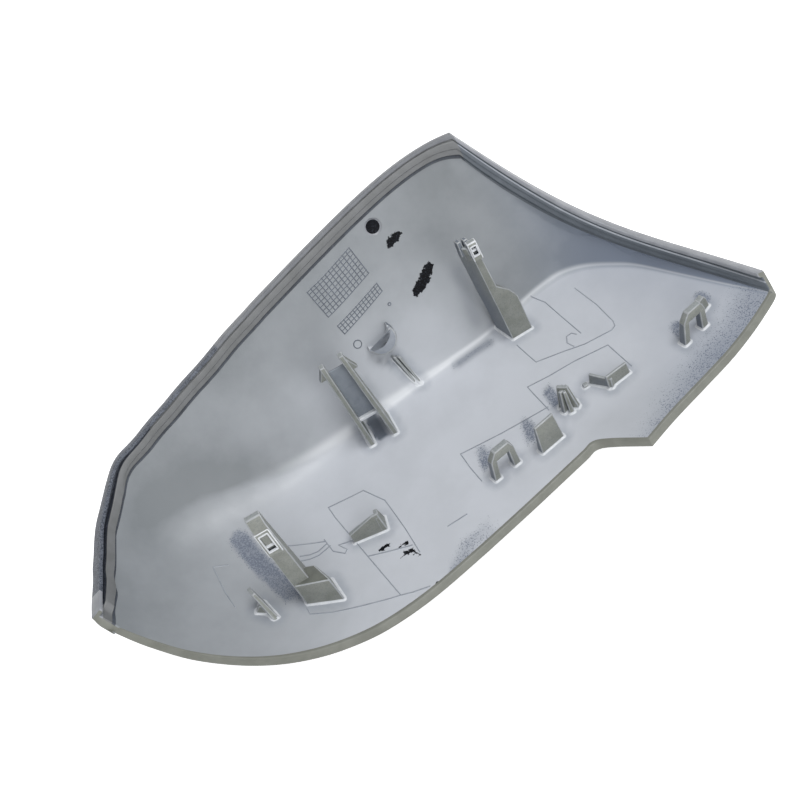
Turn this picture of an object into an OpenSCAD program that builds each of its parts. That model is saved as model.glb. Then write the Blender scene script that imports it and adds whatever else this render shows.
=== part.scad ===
// Wing mirror cover: a thin moulded half shell seen from inside, with its clips. Millimetres.
// The clips stand along +Z in the moulding's own frame. The last lines tip it into its rest pose.

/* [Cover] */
// Length along X over the skin
cover_length = 248; // [200:1:300]
// Depth along Y over the skin
cover_depth = 130; // [105:1:160]
// Rise of the skin along the moulding direction
cover_rise = 71; // [55:1:90]
// Thickness of the skin
wall = 2.8; // [2:0.1:3.6]
// How far the lower edge face slants outwards
edge_slant = 1.2; // [0:0.1:2]

/* [Sealing rim] */
// Height of the outer lip above the inner face
lip_height = 1.6; // [0.8:0.1:2.6]
// Extra lip height round the outboard end
lip_extra = 1.6; // [0:0.1:2.5]
// Thickness of the outer lip
lip_width = 1.3; // [0.8:0.1:2]
// Width of the seal groove
groove_width = 1.3; // [0.8:0.1:2.2]
// Depth of the seal groove below the inner face
groove_depth = 0.8; // [0.2:0.1:1.4]
// Width of the inner rib
rib_width = 3.0; // [1.6:0.1:4.5]
// Height of the inner rib
rib_height = 1.6; // [0.8:0.1:3]
// Width of the low step inside the rib, away from the outboard end
strip_width = 1.5; // [0.6:0.1:2.4]

/* [Tall hooks] */
// Height of the tall hooks from the skin to the top
hook_height = 50; // [38:1:60]
// Width of a tall hook across its shaft
hook_width = 4.4; // [3.6:0.1:6]
// Depth of a tall hook at its foot
hook_depth = 9.6; // [7:0.1:12]
// Width of the foot block of the inboard hook
inboard_foot = 9; // [7:0.1:12]
// Width of the foot block of the outboard hook
outboard_foot = 13.6; // [10:0.1:17]
// How far the hook head stands out
head_reach = 1.8; // [1:0.1:3]
// Side of the window in the hook head
window_size = 1.8; // [1.2:0.1:2.2]

/* [Snap pair] */
// Height of the two blades
snap_height = 46; // [36:1:56]
// Distance between the blades, centre to centre
snap_pitch = 9.4; // [7:0.1:12]
// Thickness of a blade
snap_blade = 2; // [1.5:0.1:3]
// Depth of a blade at its foot
snap_depth = 11; // [8:0.1:14]
// Clear height under the web
snap_web_gap = 12; // [8:0.5:18]
// How far a barb stands out
barb_reach = 2.8; // [1.5:0.1:4]

/* [Small clips] */
// Height of the two arches
arch_height = 13; // [9:0.5:18]
// Width of an arch over its legs
arch_width = 11.5; // [9:0.5:15]
// Thickness of the arch bars
arch_bar = 2.6; // [1.8:0.1:3.4]
// Height of the flat plate
plate_height = 14; // [9:0.5:20]
// Width of the flat plate
plate_width = 10; // [7:0.5:14]
// Height of the cross rib
cross_height = 12; // [8:0.5:16]
// Outer radius of the crescent cradle
cradle_radius = 5.8; // [4.5:0.1:7]
// How far the cradle stands out
cradle_reach = 5; // [3:0.1:8]
// Radius of the round recess
recess_radius = 3.2; // [2:0.1:5]

/* [Hidden] */
kx = cover_length / 248;
ky = cover_depth / 130;
kz = cover_rise / 71;
rest_turn = [-0.3, -0.7, 0];
rest_shift = [-4.7, 4.6, 2.6];
// Sections across the cover: lower edge X, Y, then upper rim X, Y
sections = [
  [-113, -38.3, -116.9, -34], [-106.3, -43.5, -115.7, -26], [-98.1, -49.8, -113, -13],
  [-87, -56.6, -108, 1.8], [-76.2, -61.7, -98.3, 14.9], [-65.6, -65.1, -83.7, 22.3],
  [-54, -67.2, -67.7, 28.1], [-40, -68, -48.7, 34.2], [-23.3, -66, -27, 41.1], [-3.9, -61.1, -4, 47.8],
  [15.3, -55.6, 18.1, 53], [34.6, -49.9, 36.2, 56.3], [44.1, -47.2, 47, 57.4], [49, -45.8, 55.4, 57.3],
  [54.5, -48.9, 62.3, 55.9], [63.9, -56.8, 70.3, 49.2], [75.3, -52.3, 79.7, 42.5],
  [89.7, -47.7, 91, 32.2], [103, -43.5, 102.4, 19.2], [114, -39, 112.3, 3.3],
  [122.5, -34.8, 120.9, -12.8], [127.1, -32.4, 127.3, -26]];
// Stations with a sharp corner: the notch on the lower edge, the horn on the upper rim
notch_station = 15;
horn_station = 14;
last = len(sections) - 1;
// The fold between floor and wall in plan
fold = [[-118, -42], [-114, -24], [-108, -9.5], [-100, 0.5], [-90, 5.4], [-75, 7.8], [-58, 8.9], [-42, 10.4], [-28, 12.8],
  [-14, 15.4], [0, 17.9], [12, 19.5], [24, 20.9], [36, 22.5], [48, 24.9], [58, 27.7], [68, 29.7],
  [77, 29.9], [86, 26.3], [95, 19], [101, 12.4], [110, -2.4], [119, -18.3], [128.5, -35]];
// Slope of the wall above the fold, then the softness of the fold
steep = [[-118, 2.3], [-84, 2.22], [-49, 2.06], [-4, 1.93], [20, 1.88], [36, 1.89], [48, 1.99], [62, 2.34],
  [72, 2.64], [82, 2.82], [92, 2.75], [101, 2.4], [111, 1.85], [121, 1.66], [130, 1.7]];
soft = [[-118, 30], [-70, 26], [-50, 16], [-30, 8], [-5, 4], [30, 3], [60, 2.2], [90, 1.6], [130, 1.2]];

// Smooth curve through points given as [place, value]
function seg(t, a, b, m, n) = (2*t*t*t - 3*t*t + 1)*a + (t*t*t - 2*t*t + t)*m + (3*t*t - 2*t*t*t)*b + (t*t*t - t*t)*n;
function tang(p, i) = i == 0 ? (p[1][1] - p[0][1]) / (p[1][0] - p[0][0])
  : i == len(p) - 1 ? (p[i][1] - p[i-1][1]) / (p[i][0] - p[i-1][0])
  : (p[i+1][1] - p[i-1][1]) / (p[i+1][0] - p[i-1][0]);
function cell(p, x, a, b) = b - a < 2 ? a : let (m = floor((a + b) / 2)) p[m][0] <= x ? cell(p, x, m, b) : cell(p, x, a, m);
function curve(p, x0) = let (n = len(p) - 1, x = max(p[0][0], min(p[n][0], x0)), i = cell(p, x, 0, n),
  w = p[i+1][0] - p[i][0]) seg((x - p[i][0]) / w, p[i][1], p[i+1][1], w * tang(p, i), w * tang(p, i + 1));

// Inner face of the skin as a height over the plan, at the nominal size and then scaled
function bowl(x, y) = 16 * pow(max(0, (-38 - x) / 70), 2.3) + 0.0012 * pow(y - 5, 2)
  + 0.0006 * pow(max(0, x - 20), 2) + 0.0002 * pow(min(0, x - 20), 2);
function nominal(x, y) = let (s = curve(fold, x + 0.5) - curve(fold, x - 0.5),
  w = curve(steep, x) / sqrt(1 + s*s) * (y - curve(fold, x)), r = curve(soft, x)) bowl(x, y) + (w + sqrt(w*w + r*r)) / 2;
function face(x, y) = kz * nominal(x / kx, y / ky);
function unit(v) = v / norm(v);
function normal(x, y) = unit([face(x - 0.3, y) - face(x + 0.3, y), face(x, y - 0.3) - face(x, y + 0.3), 0.6]);
function on(x, y) = [x, y, face(x, y)];

// Lower edge and upper rim in plan along the stations, with one-sided slopes at the corners
function station(i, c) = [kx * sections[i][c], ky * sections[i][c+1]];
function step(i, j, c) = (station(j, c) - station(i, c)) / (j - i);
function lean(i, up, c, k) = (i == 0 || (i == k && up)) ? step(i, i + 1, c)
  : (i == last || i == k) ? step(i - 1, i, c) : step(i - 1, i + 1, c);
function edge(u, c, k) = let (i = min(last - 1, floor(u)), t = u - i)
  seg(t, station(i, c), station(i + 1, c), lean(i, true, c, k), lean(i + 1, false, c, k));
function low(u) = edge(u, 0, notch_station);
function high(u) = edge(u, 2, horn_station);
function mix(a, b, t) = a + (b - a) * t;
function over(u, t) = mix(low(u), high(u), t);
function past_fold(p) = p[1] / ky - curve(fold, p[0] / kx);
function fold_at(u, a, b, n) = n == 0 ? (a + b) / 2
  : let (m = (a + b) / 2) past_fold(over(u, m)) > 0 ? fold_at(u, a, m, n - 1) : fold_at(u, m, b, n - 1);
function ramp(x, a, b) = let (t = max(0, min(1, (x - a) / (b - a)))) t * t * (3 - 2 * t);

// Rim profile from the inner face out to the edge: distance from the edge, then height
draft = 0.25;
band = lip_width + groove_width + rib_width + 2 * draft;
function rib_on(u) = ramp(u, 1, 1.5) * (1 - ramp(u, last - 0.85, last - 0.6));
function lip_up(u) = lip_height + lip_extra * (1 - ramp(u, 3, 6));
function away(u) = ramp(u, 3.5, 5) * (1 - ramp(u, last - 0.85, last - 0.6));
function profile(u) = let (f = rib_on(u), l = lip_up(u), s = away(u), h = rib_height * f, d = (rib_height - 0.3 * s) * f,
  w = strip_width * s + 0.25, g = mix(groove_width, 0.3, s), b = mix(-groove_depth, rib_height - 0.5, s) * f)
  [[band, 0], [band - draft, d], [band - draft - w, d], [band - draft - w - 0.1, h], [lip_width + g + draft, h],
  [lip_width + g, b], [lip_width + 0.1, b], [lip_width, l], [0.35, l], [0, l - 0.35]];
floor_rows = [0, 0.12, 0.25, 0.38, 0.51, 0.64, 0.76, 0.86, 0.93, 0.97, 1];
wall_rows = [0.04, 0.09, 0.17, 0.28, 0.42, 0.56, 0.7, 0.85];
function rim_cross(u) = let (a = over(min(last, u + 0.04), 1), b = over(max(0, u - 0.04), 1), e = over(u, 0.98),
  c = over(u, 1), r = unit(on(a[0], a[1]) - on(b[0], b[1])), s = on(c[0], c[1]) - on(e[0], e[1]))
  norm(s) / 0.02 * norm(cross(r, unit(s)));
// One section: place along it and height above the inner face
function rows(u) = let (f = min(0.9, max(0.1, fold_at(u, 0, 1, 14))), reach = rim_cross(u),
  k = min(1 / reach, 0.6 * (1 - f) / band), top = 1 - band * k)
  concat([for (t = floor_rows) [f * t, 0]], [for (t = wall_rows) [mix(f, top, t), 0]],
  [for (p = profile(u)) [1 - p[0] * k, p[1]]]);
steps = 3;
us = concat([for (i = [0 : last - 1]) for (j = [0 : steps - 1]) i + j / steps], [last]);
function inner_point(u, r) = let (p = over(u, r[0]), n = normal(p[0], p[1])) on(p[0], p[1]) + r[1] * n;
function outer_point(u, r) = let (p = over(u, r[0]), n = normal(p[0], p[1]), q = over(u, r[0] + 0.02),
  v = over(min(last, u + 0.1), r[0]))
  on(p[0], p[1]) - wall * n - (r[0] == 0 ? edge_slant * unit(on(q[0], q[1]) - on(p[0], p[1])) : [0, 0, 0])
  - (u == 0 && r[0] < 1 ? edge_slant * unit(on(v[0], v[1]) - on(p[0], p[1])) : [0, 0, 0]);

// A closed sheet between two grids of points, m sections of n points
module sheet(above, below, m, n) {
  o = n * m;
  faces = concat(
    [for (i = [0 : m - 2]) for (j = [0 : n - 2]) let (a = i * n + j) each [[a, a + 1, a + n + 1], [a, a + n + 1, a + n]]],
    [for (i = [0 : m - 2]) for (j = [0 : n - 2]) let (a = o + i * n + j) each [[a + 1, a, a + n], [a + 1, a + n, a + n + 1]]],
    [for (j = [0 : n - 2]) each [[j, o + j, o + j + 1], [j, o + j + 1, j + 1]]],
    [for (j = [0 : n - 2]) let (a = (m - 1) * n + j) each [[a, a + 1, o + a + 1], [a, o + a + 1, o + a]]],
    [for (i = [0 : m - 2]) let (a = i * n) each [[a, a + n, o + a + n], [a, o + a + n, o + a]]],
    [for (i = [0 : m - 2]) let (a = i * n + n - 1) each [[a, o + a, o + a + n], [a, o + a + n, a + n]]]);
  polyhedron(concat(above, below), faces, 10);
}
table = [for (u = us) rows(u)];
count = len(table[0]);
every = [0 : len(us) - 1];

// The skin with its sealing rim
module skin() sheet([for (i = every) for (r = table[i]) inner_point(us[i], r)],
  [for (i = every) for (r = table[i]) outer_point(us[i], r)], len(us), count);

// The room above the middle of the skin, which trims every clip so that none comes through the outer face
module room() {
  middle = [for (i = every) for (r = table[i]) let (p = over(us[i], r[0])) on(p[0], p[1]) - wall / 2 * normal(p[0], p[1])];
  sheet([for (p = middle) [p[0], p[1], 3 * cover_rise]], middle, len(us), count);
}

// A tapered bar between two level outlines, each given as X from, X to, Y from, Y to, Z, and if it is not
// square also how far its back left and back right corners are moved along X
function lead(a, i) = len(a) > i ? a[i] : len(a) > 5 ? a[5] : 0;
function quad(a) = [[a[0], a[2]], [a[1], a[2]], [a[1] + lead(a, 6), a[3]], [a[0] + lead(a, 5), a[3]]];
module taper(a, b) hull() {
  translate([0, 0, a[4]]) linear_extrude(0.02) polygon(quad(a));
  translate([0, 0, b[4] - 0.02]) linear_extrude(0.02) polygon(quad(b));
}

// Puts a clip on the skin at a plan place, turned about its own upright
module seat(x, y, turn = 0) translate([kx * x, ky * y, face(kx * x, ky * y)]) rotate(turn) children();

// The windowed head shared by the two tall hooks: a barb with a square ledge below and a window in its face
module hook_head(w, low, high) difference() {
  taper([0, w, -head_reach, 2.5, low], [0, w, 0.4, 2.5, high]);
  translate([(w - window_size) / 2, -head_reach - 1, low + 2]) cube([window_size, head_reach + 2.2, high - low - 3.4]);
}

// Front corners of the inboard hook from the foot up: X of the left, X of the right, Y, Z
module inboard_hook() seat(52, 15) {
  t = hook_height / 50;
  foot_right = inboard_foot - 4.6;
  back = hook_depth - 0.6;
  left = hook_width / 2 - 8;
  taper([-4.1, foot_right, 0, back, -1.6, -2.8], [-4.6, foot_right - 0.3, 1.7, back, 17.4 * t, -3.3]);
  taper([-4.6, foot_right - 0.3, 1.7, back, 17.3 * t, -3.3], [-4.8, foot_right - 2.3, 2.1, back, 22.2 * t, -3.5]);
  taper([-4.8, foot_right - 2.3, 2.1, back, 22.1 * t, -3.5], [-4.9, -1.6, 2.5, back, 26.2 * t, -3.6]);
  taper([-4.9, -1.6, 2.5, back, 26.1 * t, -3.6], [left + 0.3, -2.5, 4, back + 0.5, 44 * t, -3.8]);
  taper([left, -2.5, 4.4, 7, 41 * t, -2], [left - 0.4, -3, 5.2, 7, 47 * t, -2]);
  translate([left, 4, 0]) hook_head(hook_width - 1.4, 42 * t, 49 * t);
  // Two prongs behind the window
  taper([left - 3, left - 0.6, 6.6, back + 0.5, 41 * t, -0.6], [left - 3, left - 1.6, 7.4, back + 0.3, 50 * t, -0.6]);
  taper([left - 0.4, left + 2, 6, back, 41 * t, -0.6], [left + 0.2, left + 1.4, 6.8, back - 0.4, 50 * t, -0.6]);
}

module outboard_hook() seat(-58.5, -46) {
  t = hook_height / 50;
  w = hook_width + 0.8;
  taper([-2.2, w - 1.3, -0.4, hook_depth - 2.1, -2], [-1, w - 1, 2.6, 6.4, 44 * t]);
  taper([-1, w - 1, 2.6, 6.4, 43.9 * t], [-0.8, w - 0.8, 4, 6, 47.4 * t]);
  translate([-1.4, 1.9, 0]) hook_head(w, 31 * t, 41.6 * t);
  rotate(-22) taper([-1.8, outboard_foot - 2.1, -1.4, 8, -2, 0, -5.5], [-1.4, outboard_foot - 2.4, -0.4, 6.4, 11.8 * t, 0, -6]);
}

// Two barbed blades that lean inboard, with a web between them, open under the web
module snap_pair() seat(-12.1, 8.6) {
  p = snap_pitch / 2;
  b = snap_blade / 2;
  h = snap_height;
  taper([-p - b, b - p, -4.2, snap_depth - 4.2, -1.4], [-p - b - 0.6, b - p - 0.8, -2.8, -0.4, h]);
  taper([p - b, p + b, -4.6, snap_depth - 4.6, -1.4], [p - b - 2.5, p + b - 2.7, -2.8, -0.4, h + 0.6]);
  taper([-p - b - barb_reach, -p, -2.6, -0.6, h - 6], [-p - 1.5, -p - 0.6, -2.6, -0.6, h - 1]);
  taper([p - 2.2, p + barb_reach - 2, -2.6, -0.6, h - 8], [p - 2.6, p - 1.8, -2.6, -0.6, h - 1]);
  taper([-p, p, -1.2, 1.2, snap_web_gap], [-p - 0.6, p - 2.2, -0.6, 0.8, h - 6]);
  taper([-p, p, -1.2, snap_depth - 5.4, snap_web_gap], [-p, p, -1.2, snap_depth - 6.6, snap_web_gap + 1.8]);
}

// An arch: two legs and a bar with its outboard shoulder cut back
module arch() {
  w = arch_width / 2;
  b = arch_bar;
  h = arch_height;
  taper([-w, b - w, -b/2 - 0.3, b/2 + 0.3, -1.5], [1.7 - w, b - w + 1.5, -b/2, b/2, h - 3.6]);
  taper([w - b - 0.2, w, -b/2 - 0.3, b/2 + 0.3, -1.5], [w - b + 0.2, w, -b/2, b/2, h - 3.6]);
  taper([1.7 - w, w, -b/2, b/2, h - 3.8], [4.4 - w, w - 1.2, 0.2 - b/2, b/2, h]);
}

module small_clips() {
  seat(19.4, -36, 12) arch();
  seat(98.9, -28.1, 14) arch();
  seat(108, -20.5, 24) {
    taper([-1.6, 1.6, -1.3, 1.3, -1.6], [-2.4, 0.4, -1.1, 1.1, 5.4]);
    taper([-3.6, 0.4, -1.1, 1.1, 4.8], [-3.2, -0.4, -1.1, 1.1, 6.6]);
  }
  seat(37.3, -35.9, 13) taper([-plate_width/2, plate_width/2, -1.5, 1.5, -1.5], [1.3 - plate_width/2, plate_width/2 - 1.5, -1.1, 1.1, plate_height]);
  seat(49.9, -25.8, -40) {
    taper([-4, 4, -0.9, 0.9, -1.5], [-2, 2, -0.6, 0.6, cross_height]);
    rotate(62) taper([-3.6, 3.6, -0.9, 0.9, -1.5], [-2, 2, -0.6, 0.6, cross_height - 1.4]);
    rotate(122) taper([-3.6, 3.6, -0.9, 0.9, -1.5], [-2, 2, -0.6, 0.6, cross_height - 1.4]);
  }
  // Bent wall in two straight lengths, with the round foot beside it
  seat(63.6, -24.6, -53) taper([-4.6, 5, -1.2, 1.2, -1.5], [-3.6, 5, -0.9, 0.9, 4.2]);
  seat(69.1, -26.9, 8) taper([-4.8, 4.8, -1.2, 1.2, -1.5], [-4.6, 4.2, -0.9, 0.9, 5.4]);
  seat(58.8, -21.6) translate([0, 0, -1.2]) cylinder(h = 2.4, r1 = 1.3, r2 = 1, $fn = 24);
  // Wedge with its end wall
  seat(-31.8, -31.2, -8) {
    taper([-6.4, 6.4, -1.2, 1.2, -1.5], [-6.2, -5.4, -0.9, 0.9, 2.6]);
    taper([-6.4, 6.4, -1.2, 1.2, -1.5], [5.2, 6.2, -0.9, 0.9, 7]);
    taper([3.9, 6.4, -1.2, 5.4, -1.5], [4.4, 6.2, -0.9, 4.2, 7]);
  }
  // Fin with a small side gusset
  seat(-72.6, -43, -73) {
    taper([-5, 5.2, -1, 1, -2], [-5.2, -1.6, -0.7, 0.7, 10.5]);
    rotate(45) taper([-6.6, -0.4, -1, 1, -2], [-1.6, -0.6, -0.7, 0.7, 5]);
  }
  // Crescent cradle square to the wall, and two thin ribs from it down to the fold
  translate([kx * 5.1, ky * 25.5, kz * 24.8]) rotate([-118, 0, 0]) difference() {
    cylinder(h = cradle_reach + 9, r = cradle_radius, $fn = 48);
    translate([-0.34, -0.73, 0] * cradle_radius - [0, 0, 1]) cylinder(h = cradle_reach + 11, r = 1.07 * cradle_radius, $fn = 56);
  }
  for (p = [[7.4, 20.3], [10, 19.6]]) seat(p[0], p[1], 26) taper([-0.6, 0.6, -1.5, 6, -1], [-0.6, 0.6, 4.2, 6, 12]);
}

module cover() color("#8f9496") translate(rest_shift) rotate(rest_turn) difference() {
  union() {
    skin();
    intersection() {
      union() {
        inboard_hook();
        outboard_hook();
        snap_pair();
        small_clips();
      }
      room();
    }
  }
  let (p = on(kx * 23, ky * 47.8), n = normal(kx * 23, ky * 47.8))
    translate(p - 0.7 * n) rotate([0, acos(n[2]), atan2(n[1], n[0])]) cylinder(h = 4, r = recess_radius, $fn = 48);
}

cover();
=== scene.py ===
import math
import bpy
import bmesh
import numpy as np
from mathutils import Matrix, kdtree


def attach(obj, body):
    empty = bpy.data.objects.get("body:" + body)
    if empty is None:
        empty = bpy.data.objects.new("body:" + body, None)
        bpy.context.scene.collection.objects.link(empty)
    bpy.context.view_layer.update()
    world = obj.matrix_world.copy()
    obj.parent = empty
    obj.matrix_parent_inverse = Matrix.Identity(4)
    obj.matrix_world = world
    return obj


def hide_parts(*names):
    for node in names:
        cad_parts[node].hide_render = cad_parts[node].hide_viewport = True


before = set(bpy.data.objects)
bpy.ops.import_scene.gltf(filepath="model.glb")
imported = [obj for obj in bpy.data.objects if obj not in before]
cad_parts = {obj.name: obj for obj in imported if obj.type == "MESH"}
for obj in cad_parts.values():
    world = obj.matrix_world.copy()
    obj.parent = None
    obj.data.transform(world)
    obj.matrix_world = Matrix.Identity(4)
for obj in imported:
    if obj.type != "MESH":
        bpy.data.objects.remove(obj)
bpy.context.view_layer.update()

# Camera at the photograph's angle: 48 degrees above the plane that the clips stand on, rolled by 30.
# The cover rests a little tipped from its moulding direction, and the camera is tipped with it.
REST_TURN_X = -0.3
REST_TURN_Y = -0.7
REST_SHIFT = (-0.0047, 0.0046, 0.0026)
rest = (Matrix.Translation(REST_SHIFT) @ Matrix.Rotation(math.radians(REST_TURN_Y), 4, "Y")
        @ Matrix.Rotation(math.radians(REST_TURN_X), 4, "X"))
ELEVATION = math.radians(48)
ROLL = math.radians(30)
CAMERA_DISTANCE = 0.38947
AIM = np.array([0, 0, 0.02])
SENSOR_WIDTH = 36
FOCAL_PIXELS = 1110
PICTURE_PIXELS = 800
NEAREST = 0.01
ahead = np.array([0, math.cos(ELEVATION), -math.sin(ELEVATION)])
level = np.array([1, 0, 0])
upward = np.array([0, math.sin(ELEVATION), math.cos(ELEVATION)])
right = level * math.cos(ROLL) - upward * math.sin(ROLL)
top = level * math.sin(ROLL) + upward * math.cos(ROLL)
eye = AIM - CAMERA_DISTANCE * ahead
camera_data = bpy.data.cameras.new("camera")
camera_data.sensor_width = SENSOR_WIDTH
camera_data.lens = SENSOR_WIDTH * FOCAL_PIXELS / PICTURE_PIXELS
camera_data.clip_start = NEAREST
camera = bpy.data.objects.new("camera", camera_data)
bpy.context.scene.collection.objects.link(camera)
bpy.context.scene.view_settings.view_transform = "Standard"
axes = Matrix((tuple(right), tuple(top), tuple(-ahead))).transposed().to_4x4()
camera.matrix_world = rest @ Matrix.Translation(eye.tolist()) @ axes
bpy.context.scene.camera = camera


# The table: a pale matt board that runs to white for the camera and still takes the cover's shadow.
# It is a sheet of coated card, so it is smooth with a very fine tooth.
def linear(hex_colour):
    """An sRGB hex value as the linear colour that the nodes take."""
    channels = [int(hex_colour[i:i + 2], 16) / 255 for i in (1, 3, 5)]
    return tuple(c / 12.92 if c <= 0.04045 else ((c + 0.055) / 1.055) ** 2.4 for c in channels) + (1,)


def add(tree, kind, settings=None, **feeds):
    """Adds a node with its settings, and feeds its inputs by name, or by number as i0, i1 and so on.
    A feed is another node, one output of a node, a hex colour or a plain value."""
    node = tree.nodes.new("ShaderNode" + kind)
    for name, value in (settings or {}).items():
        setattr(node, name, value)
    for name, value in feeds.items():
        key = int(name[1:]) if name[0] == "i" and name[1:].isdigit() else name.replace("_", " ")
        if isinstance(value, bpy.types.Node):
            value = next(output for output in value.outputs if output.enabled)
        if isinstance(value, bpy.types.NodeSocket):
            tree.links.new(value, node.inputs[key])
        else:
            node.inputs[key].default_value = linear(value) if isinstance(value, str) else value
    return node


def fresh_material(name):
    material = bpy.data.materials.new(name)
    material.use_nodes = True
    material.node_tree.nodes.clear()
    return material, material.node_tree


def looked_at(tree):
    """1 where the camera, a reflection or clear plastic looks, and 0 where only light goes."""
    rays = add(tree, "LightPath").outputs
    clear = add(tree, "Math", {"operation": "MAXIMUM"}, i0=rays["Is Glossy Ray"],
                i1=rays["Is Transmission Ray"])
    return add(tree, "Math", {"operation": "MAXIMUM"}, i0=rays["Is Camera Ray"], i1=clear)


CARD_COLOUR = "#f2f2f2"
CARD_LIGHT = "#f6f6f6"
CARD_TOOTH = 0.0008
CARD_LIFT = 0.75
COLOUR_MIX = {"data_type": "RGBA"}
card, tree = fresh_material("coated_card")
place = add(tree, "TexCoord").outputs["Object"]
tooth = add(tree, "TexNoise", Vector=place, Scale=1 / CARD_TOOTH, Detail=2)
lift = add(tree, "Bump", Strength=0.05, Distance=0.00005, Height=tooth)
tint = add(tree, "Mix", COLOUR_MIX, i0=tooth, i6=CARD_COLOUR, i7=CARD_LIGHT)
matt = add(tree, "BsdfPrincipled", Base_Color=tint, Roughness=0.7, Normal=lift)
glow = add(tree, "Emission", Color=(1, 1, 1, 1), Strength=CARD_LIFT)
both = add(tree, "AddShader", i0=matt, i1=glow)
board_look = add(tree, "MixShader", i0=looked_at(tree), i1=matt, i2=both)
add(tree, "OutputMaterial", Surface=board_look)
BOARD_HALF = 3.0
corners = [(x * BOARD_HALF, y * BOARD_HALF, 0) for x, y in ((-1, -1), (1, -1), (1, 1), (-1, 1))]
floor_mesh = bpy.data.meshes.new("table_board")
floor_mesh.from_pydata(corners, [], [(0, 1, 2, 3)])
floor_mesh.materials.append(card)
board = bpy.data.objects.new("table_board", floor_mesh)
bpy.context.scene.collection.objects.link(board)

# The room: even soft light from all sides, like a white tent. It is white wherever the camera or a
# reflection looks at it, and plain in level where it lights the cover.
SKY_STRENGTH = 0.37
world = bpy.data.worlds.new("room")
bpy.context.scene.world = world
world.use_nodes = True
tree = world.node_tree
tree.nodes.clear()
sky_level = add(tree, "Mix", {"data_type": "FLOAT"}, i0=looked_at(tree), i2=SKY_STRENGTH, i3=1.0)
sky = add(tree, "Background", Color=(1, 1, 1, 1), Strength=sky_level)
add(tree, "OutputWorld", Surface=sky)


# Two round softboxes: the key above and to the right, and the fill low in front. Their level is plain,
# so that a colour renders about as it is written.
def soft_light(name, place, size, power):
    lamp = bpy.data.lights.new(name, "AREA")
    lamp.shape = "DISK"
    lamp.size = size
    lamp.energy = power
    thing = bpy.data.objects.new(name, lamp)
    thing.location = place
    aim = -thing.location
    thing.rotation_euler = aim.to_track_quat("-Z", "Y").to_euler()
    bpy.context.scene.collection.objects.link(thing)


soft_light("key_softbox", (0.35, -0.25, 1.1), 0.6, 7.2)
soft_light("fill_softbox", (0.15, -1.0, 0.6), 0.9, 4.5)


# The skin: one ABS moulding about 2.8 mm thick, pressed from a steel mould as a half bowl with a fold.
# Its upper rim carries a lip, a seal groove and a flat rib. Lengths here are millimetres in the
# moulding's own frame, where every clip stands along +Z.
WALL = 2.8
EDGE_SLANT = 1.2
LIP_HEIGHT = 1.6
LIP_EXTRA = 0.8
LIP_WIDTH = 1.3
GROOVE_WIDTH = 1.3
GROOVE_DEPTH = 0.8
RIB_WIDTH = 3.0
RIB_HEIGHT = 1.6
STRIP_WIDTH = 1.5
DRAFT = 0.25
# Each section across the skin: plan point on the lower edge, then plan point on the upper rim
SECTIONS = np.array([
    [-113, -38.3, -116.9, -34], [-106.3, -43.5, -115.7, -26], [-98.1, -49.8, -113, -13],
    [-87, -56.6, -108, 1.8], [-76.2, -61.7, -98.3, 14.9], [-65.6, -65.1, -83.7, 22.3],
    [-54, -67.2, -67.7, 28.1], [-40, -68, -48.7, 34.2], [-23.3, -66, -27, 41.1], [-3.9, -61.1, -4, 47.8],
    [15.3, -55.6, 18.1, 53], [34.6, -49.9, 36.2, 56.3], [44.1, -47.2, 47, 57.4], [49, -45.8, 55.4, 57.3],
    [54.5, -48.9, 62.3, 55.9], [63.9, -56.8, 70.3, 49.2], [75.3, -52.3, 79.7, 42.5],
    [89.7, -47.7, 91, 32.2], [103, -43.5, 102.4, 19.2], [114, -39, 112.3, 3.3],
    [122.5, -34.8, 120.9, -12.8], [127.1, -32.4, 127.3, -26]])
NOTCH_STATION = 15
HORN_STATION = 14
LAST = len(SECTIONS) - 1
# Along X: where the fold between floor and wall runs, how steep the wall is, and how soft the fold is
FOLD = [[-118, -42], [-114, -24], [-108, -9.5], [-100, 0.5], [-90, 5.4], [-75, 7.8], [-58, 8.9], [-42, 10.4],
        [-28, 12.8], [-14, 15.4], [0, 17.9], [12, 19.5], [24, 20.9], [36, 22.5], [48, 24.9], [58, 27.7],
        [68, 29.7], [77, 29.9], [86, 26.3], [95, 19], [101, 12.4], [110, -2.4], [119, -18.3], [128.5, -35]]
STEEP = [[-118, 2.3], [-84, 2.22], [-49, 2.06], [-4, 1.93], [20, 1.88], [36, 1.89], [48, 1.99], [62, 2.34],
         [72, 2.64], [82, 2.82], [92, 2.75], [101, 2.4], [111, 1.85], [121, 1.66], [130, 1.7]]
SOFT = [[-118, 30], [-70, 26], [-50, 16], [-30, 8], [-5, 4], [30, 3], [60, 2.2], [90, 1.6], [130, 1.2]]
# The floor is a shallow bowl about its low point, and it sweeps up towards the outboard end
LOW_X, LOW_Y = 20, 5
BOWL_ACROSS = 0.0012
BOWL_INBOARD = 0.0006
BOWL_OUTBOARD = 0.0002
OUTBOARD_FROM = -38
OUTBOARD_RUN = 70
OUTBOARD_RISE = 16


def curve(points, x):
    """A smooth line through points, given as places and values."""
    places, values = np.array(points, float).T
    slopes = np.empty(len(places))
    slopes[1:-1] = (values[2:] - values[:-2]) / (places[2:] - places[:-2])
    slopes[0] = (values[1] - values[0]) / (places[1] - places[0])
    slopes[-1] = (values[-1] - values[-2]) / (places[-1] - places[-2])
    x = np.clip(x, places[0], places[-1])
    i = np.clip(np.searchsorted(places, x, side="right") - 1, 0, len(places) - 2)
    w = places[i + 1] - places[i]
    t = (x - places[i]) / w
    return ((2 * t**3 - 3 * t**2 + 1) * values[i] + (t**3 - 2 * t**2 + t) * w * slopes[i]
            + (3 * t**2 - 2 * t**3) * values[i + 1] + (t**3 - t**2) * w * slopes[i + 1])


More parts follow.
